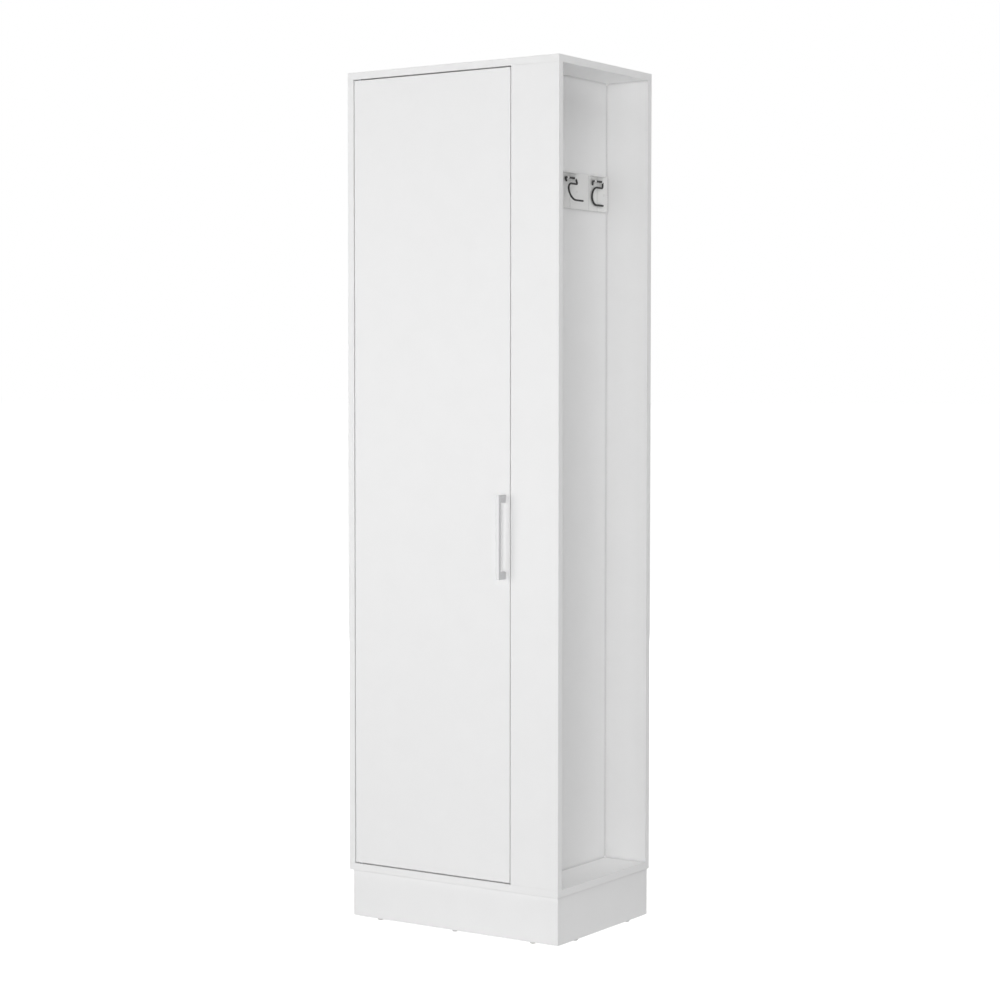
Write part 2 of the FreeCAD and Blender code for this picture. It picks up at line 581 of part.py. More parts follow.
def makeCatches():
    """Two magnetic catches on the partition hold the door, which shuts against them."""
    housings = newBody("catch_housings")
    magnets = newBody("catch_magnets")
    strikes = newBody("catch_strike_plates")
    left = "Layout.PartitionLeft - Sizes.CatchWidth"
    magnetLeft = f"{left} + (Sizes.CatchWidth - Sizes.MagnetWidth) / 2"
    for name, middle in (("low", "Layout.InnerFloor + Sizes.CatchFromEnd"),
                         ("high", "Layout.InnerCeiling - Sizes.CatchFromEnd")):
        sketch = newSketch(housings, name + "_housing", "XZ_Plane", "Layout.CatchFront")
        rectangle(sketch, "Sizes.CatchWidth", "Sizes.CatchHeight", left,
                  f"{middle} - Sizes.CatchHeight / 2")
        pad(housings, sketch, "XZ_Plane", "Sizes.CatchDepth")
        sketch = newSketch(housings, name + "_seat", "XZ_Plane", "Layout.CatchFront")
        rectangle(sketch, "Sizes.MagnetWidth + 2 * Sizes.FitClearance",
                  "Sizes.MagnetHeight + 2 * Sizes.FitClearance", f"{magnetLeft} - Sizes.FitClearance",
                  f"{middle} - Sizes.MagnetHeight / 2 - Sizes.FitClearance")
        pocket(housings, sketch, "XZ_Plane", "Sizes.MagnetDepth", 1)
        sketch = newSketch(magnets, name + "_magnet", "XZ_Plane", "Layout.CatchFront")
        rectangle(sketch, "Sizes.MagnetWidth", "Sizes.MagnetHeight", magnetLeft,
                  f"{middle} - Sizes.MagnetHeight / 2")
        pad(magnets, sketch, "XZ_Plane", "Sizes.MagnetDepth")
        sketch = newSketch(strikes, name + "_strike", "XZ_Plane", "Sizes.BoardThickness")
        rectangle(sketch, "Sizes.StrikeWidth", "Sizes.StrikeHeight",
                  "Layout.DoorLeft + Layout.DoorWidth - Sizes.StrikeWidth",
                  f"{middle} - Sizes.StrikeHeight / 2")
        pad(strikes, sketch, "XZ_Plane", "Sizes.StrikeThickness")
    for body in (housings, magnets, strikes):
        setPlace(body, "0", "0", "0")


def railScrewCentres():
    """Along the rail and up it, from the front face and the floor."""
    along = "Layout.RailStart + Sizes.GripFromEnd + Sizes.RailScrewFromGrip"
    return [(f"{along} + {step} * Sizes.GripPitch", "Layout.RailBase + Sizes.RailScrewRise")
            for step in (0, 1)]


def makeGripRail():
    """A moulded plate with a ledge and two bored knuckles for each grip, all in one piece."""
    rail = newBody("grip_rail")
    face = newSketch(rail, "rail_face", "YZ_Plane")
    rectangle(face, "Sizes.RailLength", "Sizes.RailHeight")
    pad(rail, face, "YZ_Plane", "Sizes.RailThickness")
    roundEdges(rail, "rail_corners", alongX, "Sizes.RailCorner")

    ledge = newSketch(rail, "ledge_face", "YZ_Plane", "Sizes.RailThickness")
    rectangle(ledge, "Sizes.LedgeLength", "Sizes.LedgeThickness",
              "Sizes.GripFromEnd - (Sizes.LedgeLength - Sizes.GripArmReach) / 2",
              "Sizes.RailHeight - Sizes.LedgeDrop - Sizes.LedgeThickness")
    stations = [pad(rail, ledge, "YZ_Plane", "Sizes.LedgeReach - Sizes.RailThickness")]
    for name, start, width in (("wide", "Sizes.KnuckleStart", "Sizes.KnuckleWidth"),
                               ("end", "Sizes.EndKnuckleStart", "Sizes.EndKnuckleWidth")):
        section = newSketch(rail, name + "_knuckle", "XZ_Plane", f"Sizes.GripFromEnd + {start}")
        knuckleSection(section)
        stations.append(pad(rail, section, "XZ_Plane", width))
    doc.recompute()
    pattern = rail.newObject("PartDesign::LinearPattern", "grip_stations")
    pattern.Originals = stations
    along = next(item for item in rail.Origin.OriginFeatures if item.Role == "Y_Axis")
    pattern.Direction = (along, [""])
    pattern.Occurrences = 2
    pattern.setExpression("Length", "Sizes.GripPitch")
    rail.Tip = pattern
    screws = moved(railScrewCentres(), "Layout.RailStart", "Layout.RailBase")
    drill(rail, "rail_screw_holes", "YZ_Plane", "0", screws, loose("Sizes.RailScrewDiameter"),
          "Sizes.RailThickness", 1)
    drill(rail, "rail_countersinks", "YZ_Plane", "Sizes.RailThickness", screws,
          loose("Sizes.RailScrewHeadDiameter"), COUNTERSINK_DEPTH, -1, "-45")
    firstGroove = "Sizes.GripFromEnd + Sizes.RailGrooveFromGrip"
    for name, start in (("front_groove", firstGroove), ("middle_groove", "Sizes.GripPitch"),
                        ("rear_groove", f"{firstGroove} + Sizes.GripPitch")):
        groove = newSketch(rail, name, "YZ_Plane", "Sizes.RailThickness")
        rectangle(groove, "Sizes.RailGrooveWidth", "Sizes.RailHeight", start)
        pocket(rail, groove, "YZ_Plane", "Sizes.RailGrooveDepth", -1)
    setPlace(rail, "Layout.PartitionRight", "Layout.RailStart", "Layout.RailBase")

    screwBody = newBody("grip_rail_screws")
    start = "Layout.PartitionRight - Sizes.RailScrewGrip"
    rods(screwBody, "rail_screw_shanks", "YZ_Plane", start, railScrewCentres(), "Sizes.RailScrewDiameter",
         "Sizes.RailScrewGrip + Sizes.RailThickness")
    rods(screwBody, "rail_screw_heads", "YZ_Plane", "Layout.PartitionRight + Sizes.RailThickness",
         railScrewCentres(), "Sizes.RailScrewHeadDiameter", COUNTERSINK_DEPTH, -1, "-45")
    setPlace(screwBody, "0", "0", "0")


def knuckleSection(sketch):
    """Half-round nose on a straight root, bored for the wire: out from the rail along X, up along Z."""
    radius = layout.KnuckleRadius
    reach = sizes.GripAxisReach
    height = sizes.GripAxisHeight
    root = sizes.RailThickness
    nose = Part.ArcOfCircle(Part.Circle(Vector(reach, height, 0), Vector(0, 0, 1), radius),
                            -math.pi / 2, math.pi / 2)
    outline = [Part.LineSegment(Vector(root, height - radius, 0), Vector(reach, height - radius, 0)),
               nose,
               Part.LineSegment(Vector(reach, height + radius, 0), Vector(root, height + radius, 0)),
               Part.LineSegment(Vector(root, height + radius, 0), Vector(root, height - radius, 0))]
    low, arc, high, foot = [sketch.addGeometry(item, False) for item in outline]
    bore = sketch.addGeometry(Part.Circle(Vector(reach, height, 0), Vector(0, 0, 1), radius / 2), False)
    for first, second in ((low, arc), (arc, high)):
        sketch.addConstraint(Sketcher.Constraint("Tangent", first, 2, second, 1))
    for first, second in ((high, foot), (foot, low)):
        sketch.addConstraint(Sketcher.Constraint("Coincident", first, 2, second, 1))
    sketch.addConstraint(Sketcher.Constraint("Horizontal", low))
    sketch.addConstraint(Sketcher.Constraint("Vertical", foot))
    sketch.addConstraint(Sketcher.Constraint("Coincident", arc, 3, bore, 3))
    fixPoint(sketch, bore, 3, "Axis", "Sizes.GripAxisReach", "Sizes.GripAxisHeight")
    dimension(sketch, Sketcher.Constraint("Radius", arc, radius), "NoseRadius", "Layout.KnuckleRadius")
    dimension(sketch, Sketcher.Constraint("Diameter", bore, radius), "Bore", "Layout.KnuckleBore")
    dimension(sketch, Sketcher.Constraint("DistanceX", -1, 1, foot, 1, root), "Root",
              "Sizes.RailThickness")


def bendWire(sketch):
    """Centre line of one grip, from the lip over the axle bar and round the bow to the free end.

    Y runs along the axle bar and Z up, with the origin on the swing axis above the lip."""
    bend = sizes.WireBend
    bar = sizes.GripBarLength
    drop = sizes.GripDrop
    bow = sizes.GripBowRadius
    low = drop + 2 * bow
    up = Vector(0, 0, 1)

    def line(ax, ay, bx, by):
        return Part.LineSegment(Vector(ax, ay, 0), Vector(bx, by, 0))

    def arc(x, y, radius, start, end):
        return Part.ArcOfCircle(Part.Circle(Vector(x, y, 0), up, radius),
                                math.radians(start), math.radians(end))

    lip = (line(0, -sizes.GripLip, 0, -bend), 1, 2)
    frontBend = (arc(bend, -bend, bend, 90, 180), 2, 1)
    axle = (line(bend, 0, bar - bend, 0), 1, 2)
    rearBend = (arc(bar - bend, -bend, bend, 0, 90), 2, 1)
    riser = (line(bar, -bend, bar, bend - drop), 1, 2)
    armBend = (arc(bar - bend, bend - drop, bend, -90, 0), 2, 1)
    upperArm = (line(bar - bend, -drop, bow, -drop), 1, 2)
    bowArc = (arc(bow, -drop - bow, bow, 90, 270), 1, 2)
    lowerArm = (line(bow, -low, sizes.GripArmReach, -low), 1, 2)
    chain = [lip, frontBend, axle, rearBend, riser, armBend, upperArm, bowArc, lowerArm]

    indices = [sketch.addGeometry(item[0], False) for item in chain]
    for (first, second), (before, after) in zip(zip(indices, indices[1:]), zip(chain, chain[1:])):
        sketch.addConstraint(Sketcher.Constraint("Tangent", first, before[2], second, after[1]))
    for index in (indices[0], indices[4]):
        sketch.addConstraint(Sketcher.Constraint("Vertical", index))
    for index in (indices[2], indices[6]):
        sketch.addConstraint(Sketcher.Constraint("Horizontal", index))
    sketch.addConstraint(Sketcher.Constraint("Horizontal", indices[8]))
    sketch.addConstraint(Sketcher.Constraint("PointOnObject", indices[0], 1, -2))
    sketch.addConstraint(Sketcher.Constraint("PointOnObject", indices[2], 1, -1))
    for name, index in (("FrontBend", indices[1]), ("RearBend", indices[3]), ("ArmBend", indices[5])):
        dimension(sketch, Sketcher.Constraint("Radius", index, bend), name, "Sizes.WireBend")
    dimension(sketch, Sketcher.Constraint("Radius", indices[7], bow), "Bow", "Sizes.GripBowRadius")
    dimension(sketch, Sketcher.Constraint("DistanceY", indices[0], 1, -1, 1, sizes.GripLip), "Lip",
              "Sizes.GripLip")
    dimension(sketch, Sketcher.Constraint("DistanceX", -1, 1, indices[4], 1, bar), "Bar",
              "Sizes.GripBarLength")
    dimension(sketch, Sketcher.Constraint("DistanceY", indices[6], 1, -1, 1, drop), "Drop",
              "Sizes.GripDrop")
    dimension(sketch, Sketcher.Constraint("DistanceX", -1, 1, indices[7], 3, bow), "BowCentre",
              "Sizes.GripBowRadius")
    dimension(sketch, Sketcher.Constraint("DistanceX", -1, 1, indices[8], 2, sizes.GripArmReach), "Reach",
              "Sizes.GripArmReach")
    return len(chain)


def makeGrip(label, step, tilt):
    """One wire, swept along its bends and swung out from the wall by tilt about its axle bar."""
    grip = newBody(label)
    spine = newSketch(grip, label + "_spine", "YZ_Plane")
    edgeCount = bendWire(spine)
    section = newSketch(grip, label + "_section", "XY_Plane", "-Sizes.GripLip")
    facetedCircle(section, WIRE_SIDES, "WireDiameter")
    wire = grip.newObject("PartDesign::AdditivePipe", label + "_wire")
    wire.Profile = section
    wire.Spine = (spine, [f"Edge{number}" for number in range(1, edgeCount + 1)])
    setPlace(grip, "Layout.PartitionRight + Sizes.GripAxisReach",
             f"Layout.RailStart + Sizes.GripFromEnd + {step} * Sizes.GripPitch",
             "Layout.RailBase + Sizes.GripAxisHeight")
    grip.Placement.Rotation = FreeCAD.Rotation(Vector(0, -1, 0), 1)
    grip.setExpression("Placement.Rotation.Angle", tilt)


def checkDocument():
    """Every feature is sound, every cut removes material and every sub-part is a closed solid."""
    doc.recompute()
    for item in doc.Objects:
        if "Invalid" in item.State or "Error" in item.State:
            raise RuntimeError(f"{item.Name} failed: {item.State}")
        if item.TypeId in ("PartDesign::Pocket", "PartDesign::SubtractiveBox"):
            if item.Shape.Volume > item.BaseFeature.Shape.Volume - 1:
                raise RuntimeError(f"{item.Name} cuts nothing")
    for node in nodes:
        if node.Shape.isNull() or not node.Shape.isValid() or not node.Shape.Solids:
            raise RuntimeError(f"{node.Label} has no sound shape")


def exportNodes():
    os.makedirs("parts", exist_ok=True)
    for node in nodes:
        node.Shape.exportStep(f"parts/{node.Label}.step")
        print(f"{node.Label}: {len(node.Shape.Solids)} solid(s), {node.Shape.Volume / 1000:.1f} cm3")


makeCarcass()
makePlinth()
makeShelves()
makeSplines()
makeDoor()
makeHandle()
makeCatches()
makeGripRail()
makeGrip("front_broom_grip", 0, "Sizes.GripFrontTilt")
makeGrip("rear_broom_grip", 1, "Sizes.GripRearTilt")
checkDocument()
exportNodes()
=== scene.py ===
import json
import math
import bmesh
import bpy
from mathutils import Matrix, Vector


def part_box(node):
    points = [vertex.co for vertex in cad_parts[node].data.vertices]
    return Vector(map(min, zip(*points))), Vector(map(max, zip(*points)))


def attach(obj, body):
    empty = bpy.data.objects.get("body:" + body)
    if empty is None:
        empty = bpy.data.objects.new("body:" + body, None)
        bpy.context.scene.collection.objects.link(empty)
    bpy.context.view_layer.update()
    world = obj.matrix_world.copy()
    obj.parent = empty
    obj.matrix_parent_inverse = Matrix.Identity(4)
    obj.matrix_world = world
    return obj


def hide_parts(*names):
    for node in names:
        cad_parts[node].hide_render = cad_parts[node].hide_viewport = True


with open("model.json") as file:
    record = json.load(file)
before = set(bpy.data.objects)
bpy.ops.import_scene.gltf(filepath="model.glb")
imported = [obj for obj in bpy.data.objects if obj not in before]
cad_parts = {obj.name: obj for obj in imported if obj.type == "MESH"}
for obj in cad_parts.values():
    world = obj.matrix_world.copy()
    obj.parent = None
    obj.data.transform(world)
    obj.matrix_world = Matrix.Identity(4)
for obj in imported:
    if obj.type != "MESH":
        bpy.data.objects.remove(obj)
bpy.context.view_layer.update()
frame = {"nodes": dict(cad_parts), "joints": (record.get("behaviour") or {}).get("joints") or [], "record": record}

mm = 0.001
joints = {joint["name"]: joint for joint in frame["joints"]}
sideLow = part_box("left_side_panel")[0]
frontLeft = Vector((sideLow.x, sideLow.y, 0.0))
print("frame loaded:", len(frame["nodes"]), "nodes")


def at(x, y, z):  # millimetres from the cupboard's front left corner on the floor
    return frontLeft + Vector((x, y, z)) * mm


def linear(hexColour):  # sRGB hex to the linear colour that the shaders want
    channels = [int(hexColour[place:place + 2], 16) / 255 for place in (1, 3, 5)]
    return tuple(c / 12.92 if c <= 0.04045 else ((c + 0.055) / 1.055) ** 2.4 for c in channels) + (1.0,)


def setNode(tree, node, settings=None, links=None):  # a setting is the node's own or a socket's value
    for name, value in (settings or {}).items():
        if hasattr(node, str(name)):
            setattr(node, name, value)
        else:
            node.inputs[name].default_value = value
    for name, source in (links or {}).items():
        tree.links.new(source, node.inputs[name])
    return node


def addNode(tree, kind, settings=None, links=None):
    return setNode(tree, tree.nodes.new("ShaderNode" + kind), settings, links)


def newMaterial(name):
    material = bpy.data.materials.new(name)
    material.use_nodes = True
    return material, material.node_tree, material.node_tree.nodes["Principled BSDF"]


# floor, light and camera
studio = {
    "floorSize": 400.0,
    "floorColour": "#f2f2f2",
    "floorRoughness": 0.95,
    "floorGlow": 0.93,        # lifts the floor to white for the camera, its shadow stays
    "ambient": 0.092,
    "aim": (0.0, 0.0, 0.95),  # where all the lamps point
    "lamps": {                # place and size in metres, and power in watts
        "leftSoftBox": ((-3.5, -4.5, 0.9), 3.6, 131.0),
        "rightSoftBox": ((2.1, -5.0, 1.0), 2.4, 96.0),
        "sideSoftBox": ((5.0, -1.8, 1.2), 3.0, 35.0),
        "highSoftBox": ((2.4, -0.2, 5.2), 4.5, 91.0),
        "backSoftBox": ((-3.0, 4.6, 2.2), 3.6, 100.0),
    },
}
lens = {
    "place": (2.78906, -4.16373, 1.12932),
    "azimuth": 33.726,        # degrees from straight in front towards the right
    "elevation": 2.627,
    "roll": 0.032,
    "length": 84.62,          # millimetres, as the sensor's width
    "sensor": 36.0,
}


def seenDirectly(tree):  # 1 for what the camera sees, straight or through gloss and glass
    path = addNode(tree, "LightPath")
    first = addNode(tree, "Math", {"operation": "MAXIMUM"},
                    {0: path.outputs["Is Camera Ray"], 1: path.outputs["Is Glossy Ray"]})
    both = addNode(tree, "Math", {"operation": "MAXIMUM"},
                   {0: first.outputs[0], 1: path.outputs["Is Transmission Ray"]})
    return both.outputs[0]


def makeStage():
    bpy.ops.object.select_all(action="DESELECT")
    bpy.ops.mesh.primitive_plane_add(size=studio["floorSize"], location=(0, 0, 0))
    floor = bpy.context.object
    floor.name = "studioFloor"
    material, tree, shader = newMaterial("matt white studio paper")
    setNode(tree, shader, {"Base Color": linear(studio["floorColour"]), "Specular IOR Level": 0.0,
                           "Roughness": studio["floorRoughness"]})
    glow = addNode(tree, "Emission", {"Strength": studio["floorGlow"]})
    dark = addNode(tree, "Emission", {"Strength": 0.0})
    chosen = addNode(tree, "MixShader", {},
                     {0: seenDirectly(tree), 1: dark.outputs[0], 2: glow.outputs[0]})
    total = addNode(tree, "AddShader", {}, {0: shader.outputs[0], 1: chosen.outputs[0]})
    setNode(tree, tree.nodes["Material Output"], {}, {"Surface": total.outputs[0]})
    floor.data.materials.append(material)

    world = bpy.data.worlds.new("studio")
    bpy.context.scene.world = world
    world.use_nodes = True
    tree = world.node_tree
    white = setNode(tree, tree.nodes["Background"], {"Color": (1, 1, 1, 1), "Strength": 1.0})
    soft = addNode(tree, "Background", {"Color": (1, 1, 1, 1), "Strength": studio["ambient"]})
    chosen = addNode(tree, "MixShader", {},
                     {0: seenDirectly(tree), 1: soft.outputs[0], 2: white.outputs[0]})
    setNode(tree, tree.nodes["World Output"], {}, {"Surface": chosen.outputs[0]})

    for name, (place, size, power) in studio["lamps"].items():
        light = bpy.data.lights.new(name, "AREA")
        light.energy = power
        light.size = size
        lamp = bpy.data.objects.new(name, light)
        bpy.context.scene.collection.objects.link(lamp)
        lamp.location = place
        beam = Vector(studio["aim"]) - Vector(place)
        lamp.rotation_euler = beam.to_track_quat("-Z", "Y").to_euler()


def makeCamera():
    turn, rise = math.radians(lens["azimuth"]), math.radians(lens["elevation"])
    back = Vector((math.sin(turn) * math.cos(rise), -math.cos(turn) * math.cos(rise), math.sin(rise)))
    camera = bpy.data.objects.new("camera", bpy.data.cameras.new("camera"))
    bpy.context.scene.collection.objects.link(camera)
    camera.location = lens["place"]
    upright = (-back).to_track_quat("-Z", "Y").to_matrix().to_4x4()
    camera.rotation_euler = (upright @ Matrix.Rotation(math.radians(lens["roll"]), 4, "Z")).to_euler()
    camera.data.lens = lens["length"]
    camera.data.sensor_width = lens["sensor"]
    bpy.context.scene.camera = camera
    bpy.context.scene.view_settings.view_transform = "Standard"


makeStage()
makeCamera()
print("stage and camera made")


# White melamine foil pressed onto particle board, with plastic edge bands: an even satin white
# whose fine pearl grain only shows in the gloss. Painted shade: thin grey lines where two boards
# meet and in corners, darker the less open a spot is. Painted light: surfaces deep inside the
# narrow gaps are made whiter than the rest of the board, to lift the shadow in the gaps.
whiteBoard = {
    "colour": "#f6f6f6",
    "shade": "#f3f3f3",
    "cloud": 60 * mm,
    "roughness": 0.42,
    "roughnessSpread": 0.05,
    "pearl": 1.6 * mm,        # about 0.5 mm on the real foil, drawn coarser so that it shows
    "pearlDepth": 0.02 * mm,
    "edgeRadius": 1.3 * mm,
    "seamWidth": 7 * mm,
    "seamRamp": ((0.0, 1.08), (0.38, 1.08), (0.5, 0.82), (0.92, 1.0)),  # how open a spot is, and the grey its colour is multiplied by: painted shade below 1, painted light above 1
}


def whiteBoardMaterial():
    look = whiteBoard
    material, tree, shader = newMaterial("white melamine faced board, pearl pressed")
    place = addNode(tree, "TexCoord").outputs["Object"]
    cloud = addNode(tree, "TexNoise", {"Scale": 1 / look["cloud"], "Detail": 3.0}, {"Vector": place})
    tint = addNode(tree, "Mix", {"data_type": "RGBA", 6: linear(look["shade"]),
                                 7: linear(look["colour"])}, {0: cloud.outputs["Fac"]})
    # painted shade in corners and where boards meet, and painted light deep in narrow gaps, set by how open each
    # spot is
    nearby = addNode(tree, "AmbientOcclusion", {"samples": 8, "Distance": look["seamWidth"]})
    paintedShading = addNode(tree, "ValToRGB", {}, {"Fac": nearby.outputs["AO"]})
    stops = paintedShading.color_ramp.elements
    for inner in look["seamRamp"][1:-1]:
        stops.new(inner[0])
    for stop, (share, grey) in zip(stops, look["seamRamp"]):
        stop.position = share
        stop.color = (grey, grey, grey, 1.0)
    colour = addNode(tree, "Mix", {"data_type": "RGBA", "blend_type": "MULTIPLY", 0: 1.0},
                     {6: tint.outputs[2], 7: paintedShading.outputs["Color"]})
    pearl = addNode(tree, "TexNoise", {"Scale": 1 / look["pearl"], "Detail": 2.0}, {"Vector": place})
    edge = addNode(tree, "Bevel", {"samples": 6, "Radius": look["edgeRadius"]})
    bump = addNode(tree, "Bump", {"Strength": 0.35, "Distance": look["pearlDepth"]},
                   {"Height": pearl.outputs["Fac"], "Normal": edge.outputs["Normal"]})
    gloss = addNode(tree, "MapRange", {"To Min": look["roughness"] - look["roughnessSpread"],
                                       "To Max": look["roughness"] + look["roughnessSpread"]},
                    {"Value": pearl.outputs["Fac"]})
    setNode(tree, shader, {},
            {"Base Color": colour.outputs[2], "Roughness": gloss.outputs[0], "Normal": bump.outputs[0]})
    return material


# Sawn beech: warm pink brown with long darker grain lines and short dark rays.
beech = {
    "light": "#d3ab7c",
    "dark": "#b98a58",
    "grainWidth": 2.2 * mm,
    "grainLength": 45 * mm,
    "rayWidth": 0.7 * mm,
    "rayLength": 4 * mm,
    "rayShade": "#9c6c42",
    "roughness": 0.6,
    "depth": 0.05 * mm,
}


def beechMaterial():
    look = beech
    material, tree, shader = newMaterial("solid beech, sawn")
    place = addNode(tree, "TexCoord").outputs["Object"]
    along = addNode(tree, "Mapping", {"Scale": (1 / look["grainWidth"], 1 / look["grainWidth"],
                                                1 / look["grainLength"])}, {"Vector": place})
    grain = addNode(tree, "TexNoise", {"Scale": 1.0, "Detail": 5.0, "Distortion": 0.6},
                    {"Vector": along.outputs[0]})
    tint = addNode(tree, "Mix", {"data_type": "RGBA", 6: linear(look["dark"]),
                                 7: linear(look["light"])}, {0: grain.outputs["Fac"]})
    short = addNode(tree, "Mapping", {"Scale": (1 / look["rayWidth"], 1 / look["rayWidth"],
                                                1 / look["rayLength"])}, {"Vector": place})
    rays = addNode(tree, "TexNoise", {"Scale": 1.0, "Detail": 1.0}, {"Vector": short.outputs[0]})
    sharp = addNode(tree, "MapRange", {"From Min": 0.62, "From Max": 0.72},
                    {"Value": rays.outputs["Fac"]})
    colour = addNode(tree, "Mix", {"data_type": "RGBA", 7: linear(look["rayShade"])},
                     {0: sharp.outputs[0], 6: tint.outputs[2]})
    bump = addNode(tree, "Bump", {"Strength": 0.5, "Distance": look["depth"]},
                   {"Height": grain.outputs["Fac"]})
    setNode(tree, shader, {"Roughness": look["roughness"]},
            {"Base Color": colour.outputs[2], "Normal": bump.outputs[0]})
    return material


# White ABS, injection moulded against an etched tool: even, slightly warm, with a fine satin grain.
# Painted shade darkens its grooves, corners and the spots under its ledges.
whitePlastic = {
    "colour": "#f1f1f0",
    "shade": "#ededec",
    "cloud": 30 * mm,
    "grain": 0.9 * mm,        # tool etching is near 0.1 mm, drawn coarser so that it shows
    "grainDepth": 0.012 * mm,
    "roughness": 0.46,
    "roughnessSpread": 0.06,
    "edgeRadius": 0.4 * mm,
    "seamWidth": 3 * mm,
    "seamShade": 0.68,
    "ior": 1.53,
}


def whitePlasticMaterial():
    look = whitePlastic
    material, tree, shader = newMaterial("white ABS, injection moulded, etched satin")
    place = addNode(tree, "TexCoord").outputs["Object"]
    cloud = addNode(tree, "TexNoise", {"Scale": 1 / look["cloud"], "Detail": 2.0}, {"Vector": place})
    tint = addNode(tree, "Mix", {"data_type": "RGBA", 6: linear(look["shade"]),
                                 7: linear(look["colour"])}, {0: cloud.outputs["Fac"]})
    # painted shade: the colour darkens where a spot is less open, in grooves, corners and under ledges
    nearby = addNode(tree, "AmbientOcclusion", {"samples": 8, "Distance": look["seamWidth"]})
    paintedShading = addNode(tree, "MapRange", {"From Min": 0.35, "From Max": 0.85, "To Min": look["seamShade"],
                                      "To Max": 1.0}, {"Value": nearby.outputs["AO"]})
    colour = addNode(tree, "Mix", {"data_type": "RGBA", "blend_type": "MULTIPLY", 0: 1.0},
                     {6: tint.outputs[2], 7: paintedShading.outputs[0]})
    grain = addNode(tree, "TexNoise", {"Scale": 1 / look["grain"], "Detail": 2.0}, {"Vector": place})
    edge = addNode(tree, "Bevel", {"samples": 6, "Radius": look["edgeRadius"]})
    bump = addNode(tree, "Bump", {"Strength": 0.4, "Distance": look["grainDepth"]},
                   {"Height": grain.outputs["Fac"], "Normal": edge.outputs["Normal"]})
    gloss = addNode(tree, "MapRange", {"To Min": look["roughness"] - look["roughnessSpread"],
                                       "To Max": look["roughness"] + look["roughnessSpread"]},
                    {"Value": grain.outputs["Fac"]})
    setNode(tree, shader, {"IOR": look["ior"]},
            {"Base Color": colour.outputs[2], "Roughness": gloss.outputs[0], "Normal": bump.outputs[0]})
    return material


# Pale polypropylene, injection moulded: waxy, softer gloss than ABS, with faint flow marks.
glidePlastic = {
    "colour": "#e0e0df",
    "shade": "#d6d6d5",
    "flow": 5 * mm,
    "flowStretch": 3.0,
    "grain": 0.6 * mm,
    "grainDepth": 0.01 * mm,
    "roughness": 0.5,
    "roughnessSpread": 0.06,
    "glow": 0.08,             # share of the light that a waxy plastic takes in and lets out again
    "glowDepth": 1.0 * mm,
    "ior": 1.49,
}


def glidePlasticMaterial():
    look = glidePlastic
    material, tree, shader = newMaterial("pale polypropylene, injection moulded")
    place = addNode(tree, "TexCoord").outputs["Object"]
    flat = addNode(tree, "Mapping", {"Scale": (1 / look["flow"], 1 / look["flow"],
                                               look["flowStretch"] / look["flow"])}, {"Vector": place})
    flow = addNode(tree, "TexNoise", {"Scale": 1.0, "Detail": 3.0, "Distortion": 1.2},
                   {"Vector": flat.outputs[0]})
    tint = addNode(tree, "Mix", {"data_type": "RGBA", 6: linear(look["shade"]),
                                 7: linear(look["colour"])}, {0: flow.outputs["Fac"]})
    grain = addNode(tree, "TexNoise", {"Scale": 1 / look["grain"], "Detail": 1.0}, {"Vector": place})
    bump = addNode(tree, "Bump", {"Strength": 0.4, "Distance": look["grainDepth"]},
                   {"Height": grain.outputs["Fac"]})
    gloss = addNode(tree, "MapRange", {"To Min": look["roughness"] - look["roughnessSpread"],
                                       "To Max": look["roughness"] + look["roughnessSpread"]},
                    {"Value": flow.outputs["Fac"]})
    setNode(tree, shader, {"IOR": look["ior"], "Subsurface Weight": look["glow"],
                           "Subsurface Scale": look["glowDepth"]},
            {"Base Color": tint.outputs[2], "Roughness": gloss.outputs[0], "Normal": bump.outputs[0]})
    return material


# Steel, drawn or pressed and then zinc plated: bluish grey metal with cloudy patches of gloss.
zincSteel = {
    "colour": "#c3c7cc",
    "shade": "#a9adb2",
    "patch": 3.5 * mm,
    "grain": 0.5 * mm,
    "grainDepth": 0.006 * mm,
    "roughness": 0.32,
    "roughnessSpread": 0.14,
    "edgeRadius": 0.25 * mm,
}


def zincSteelMaterial():
    look = zincSteel
    material, tree, shader = newMaterial("mild steel, zinc plated")
    place = addNode(tree, "TexCoord").outputs["Object"]
    patch = addNode(tree, "TexVoronoi", {"Scale": 1 / look["patch"], "Randomness": 1.0},
                    {"Vector": place})
    cloud = addNode(tree, "TexNoise", {"Scale": 1 / look["patch"], "Detail": 4.0}, {"Vector": place})
    tint = addNode(tree, "Mix", {"data_type": "RGBA", 6: linear(look["shade"]),
                                 7: linear(look["colour"])}, {0: cloud.outputs["Fac"]})
    gloss = addNode(tree, "MapRange", {"To Min": look["roughness"],
                                       "To Max": look["roughness"] + look["roughnessSpread"]},
                    {"Value": patch.outputs["Color"]})
    grain = addNode(tree, "TexNoise", {"Scale": 1 / look["grain"], "Detail": 2.0}, {"Vector": place})
    edge = addNode(tree, "Bevel", {"samples": 4, "Radius": look["edgeRadius"]})
    bump = addNode(tree, "Bump", {"Strength": 0.5, "Distance": look["grainDepth"]},
                   {"Height": grain.outputs["Fac"], "Normal": edge.outputs["Normal"]})
    setNode(tree, shader, {"Metallic": 1.0},
            {"Base Color": tint.outputs[2], "Roughness": gloss.outputs[0], "Normal": bump.outputs[0]})
    return material


# Steel screw heads, stove enamelled white: glossy with a slight orange peel.
whiteSteel = {
    "colour": "#efefed",
    "shade": "#e7e7e4",
    "peel": 1.1 * mm,
    "peelDepth": 0.012 * mm,
    "roughness": 0.3,
    "coat": 0.35,
}


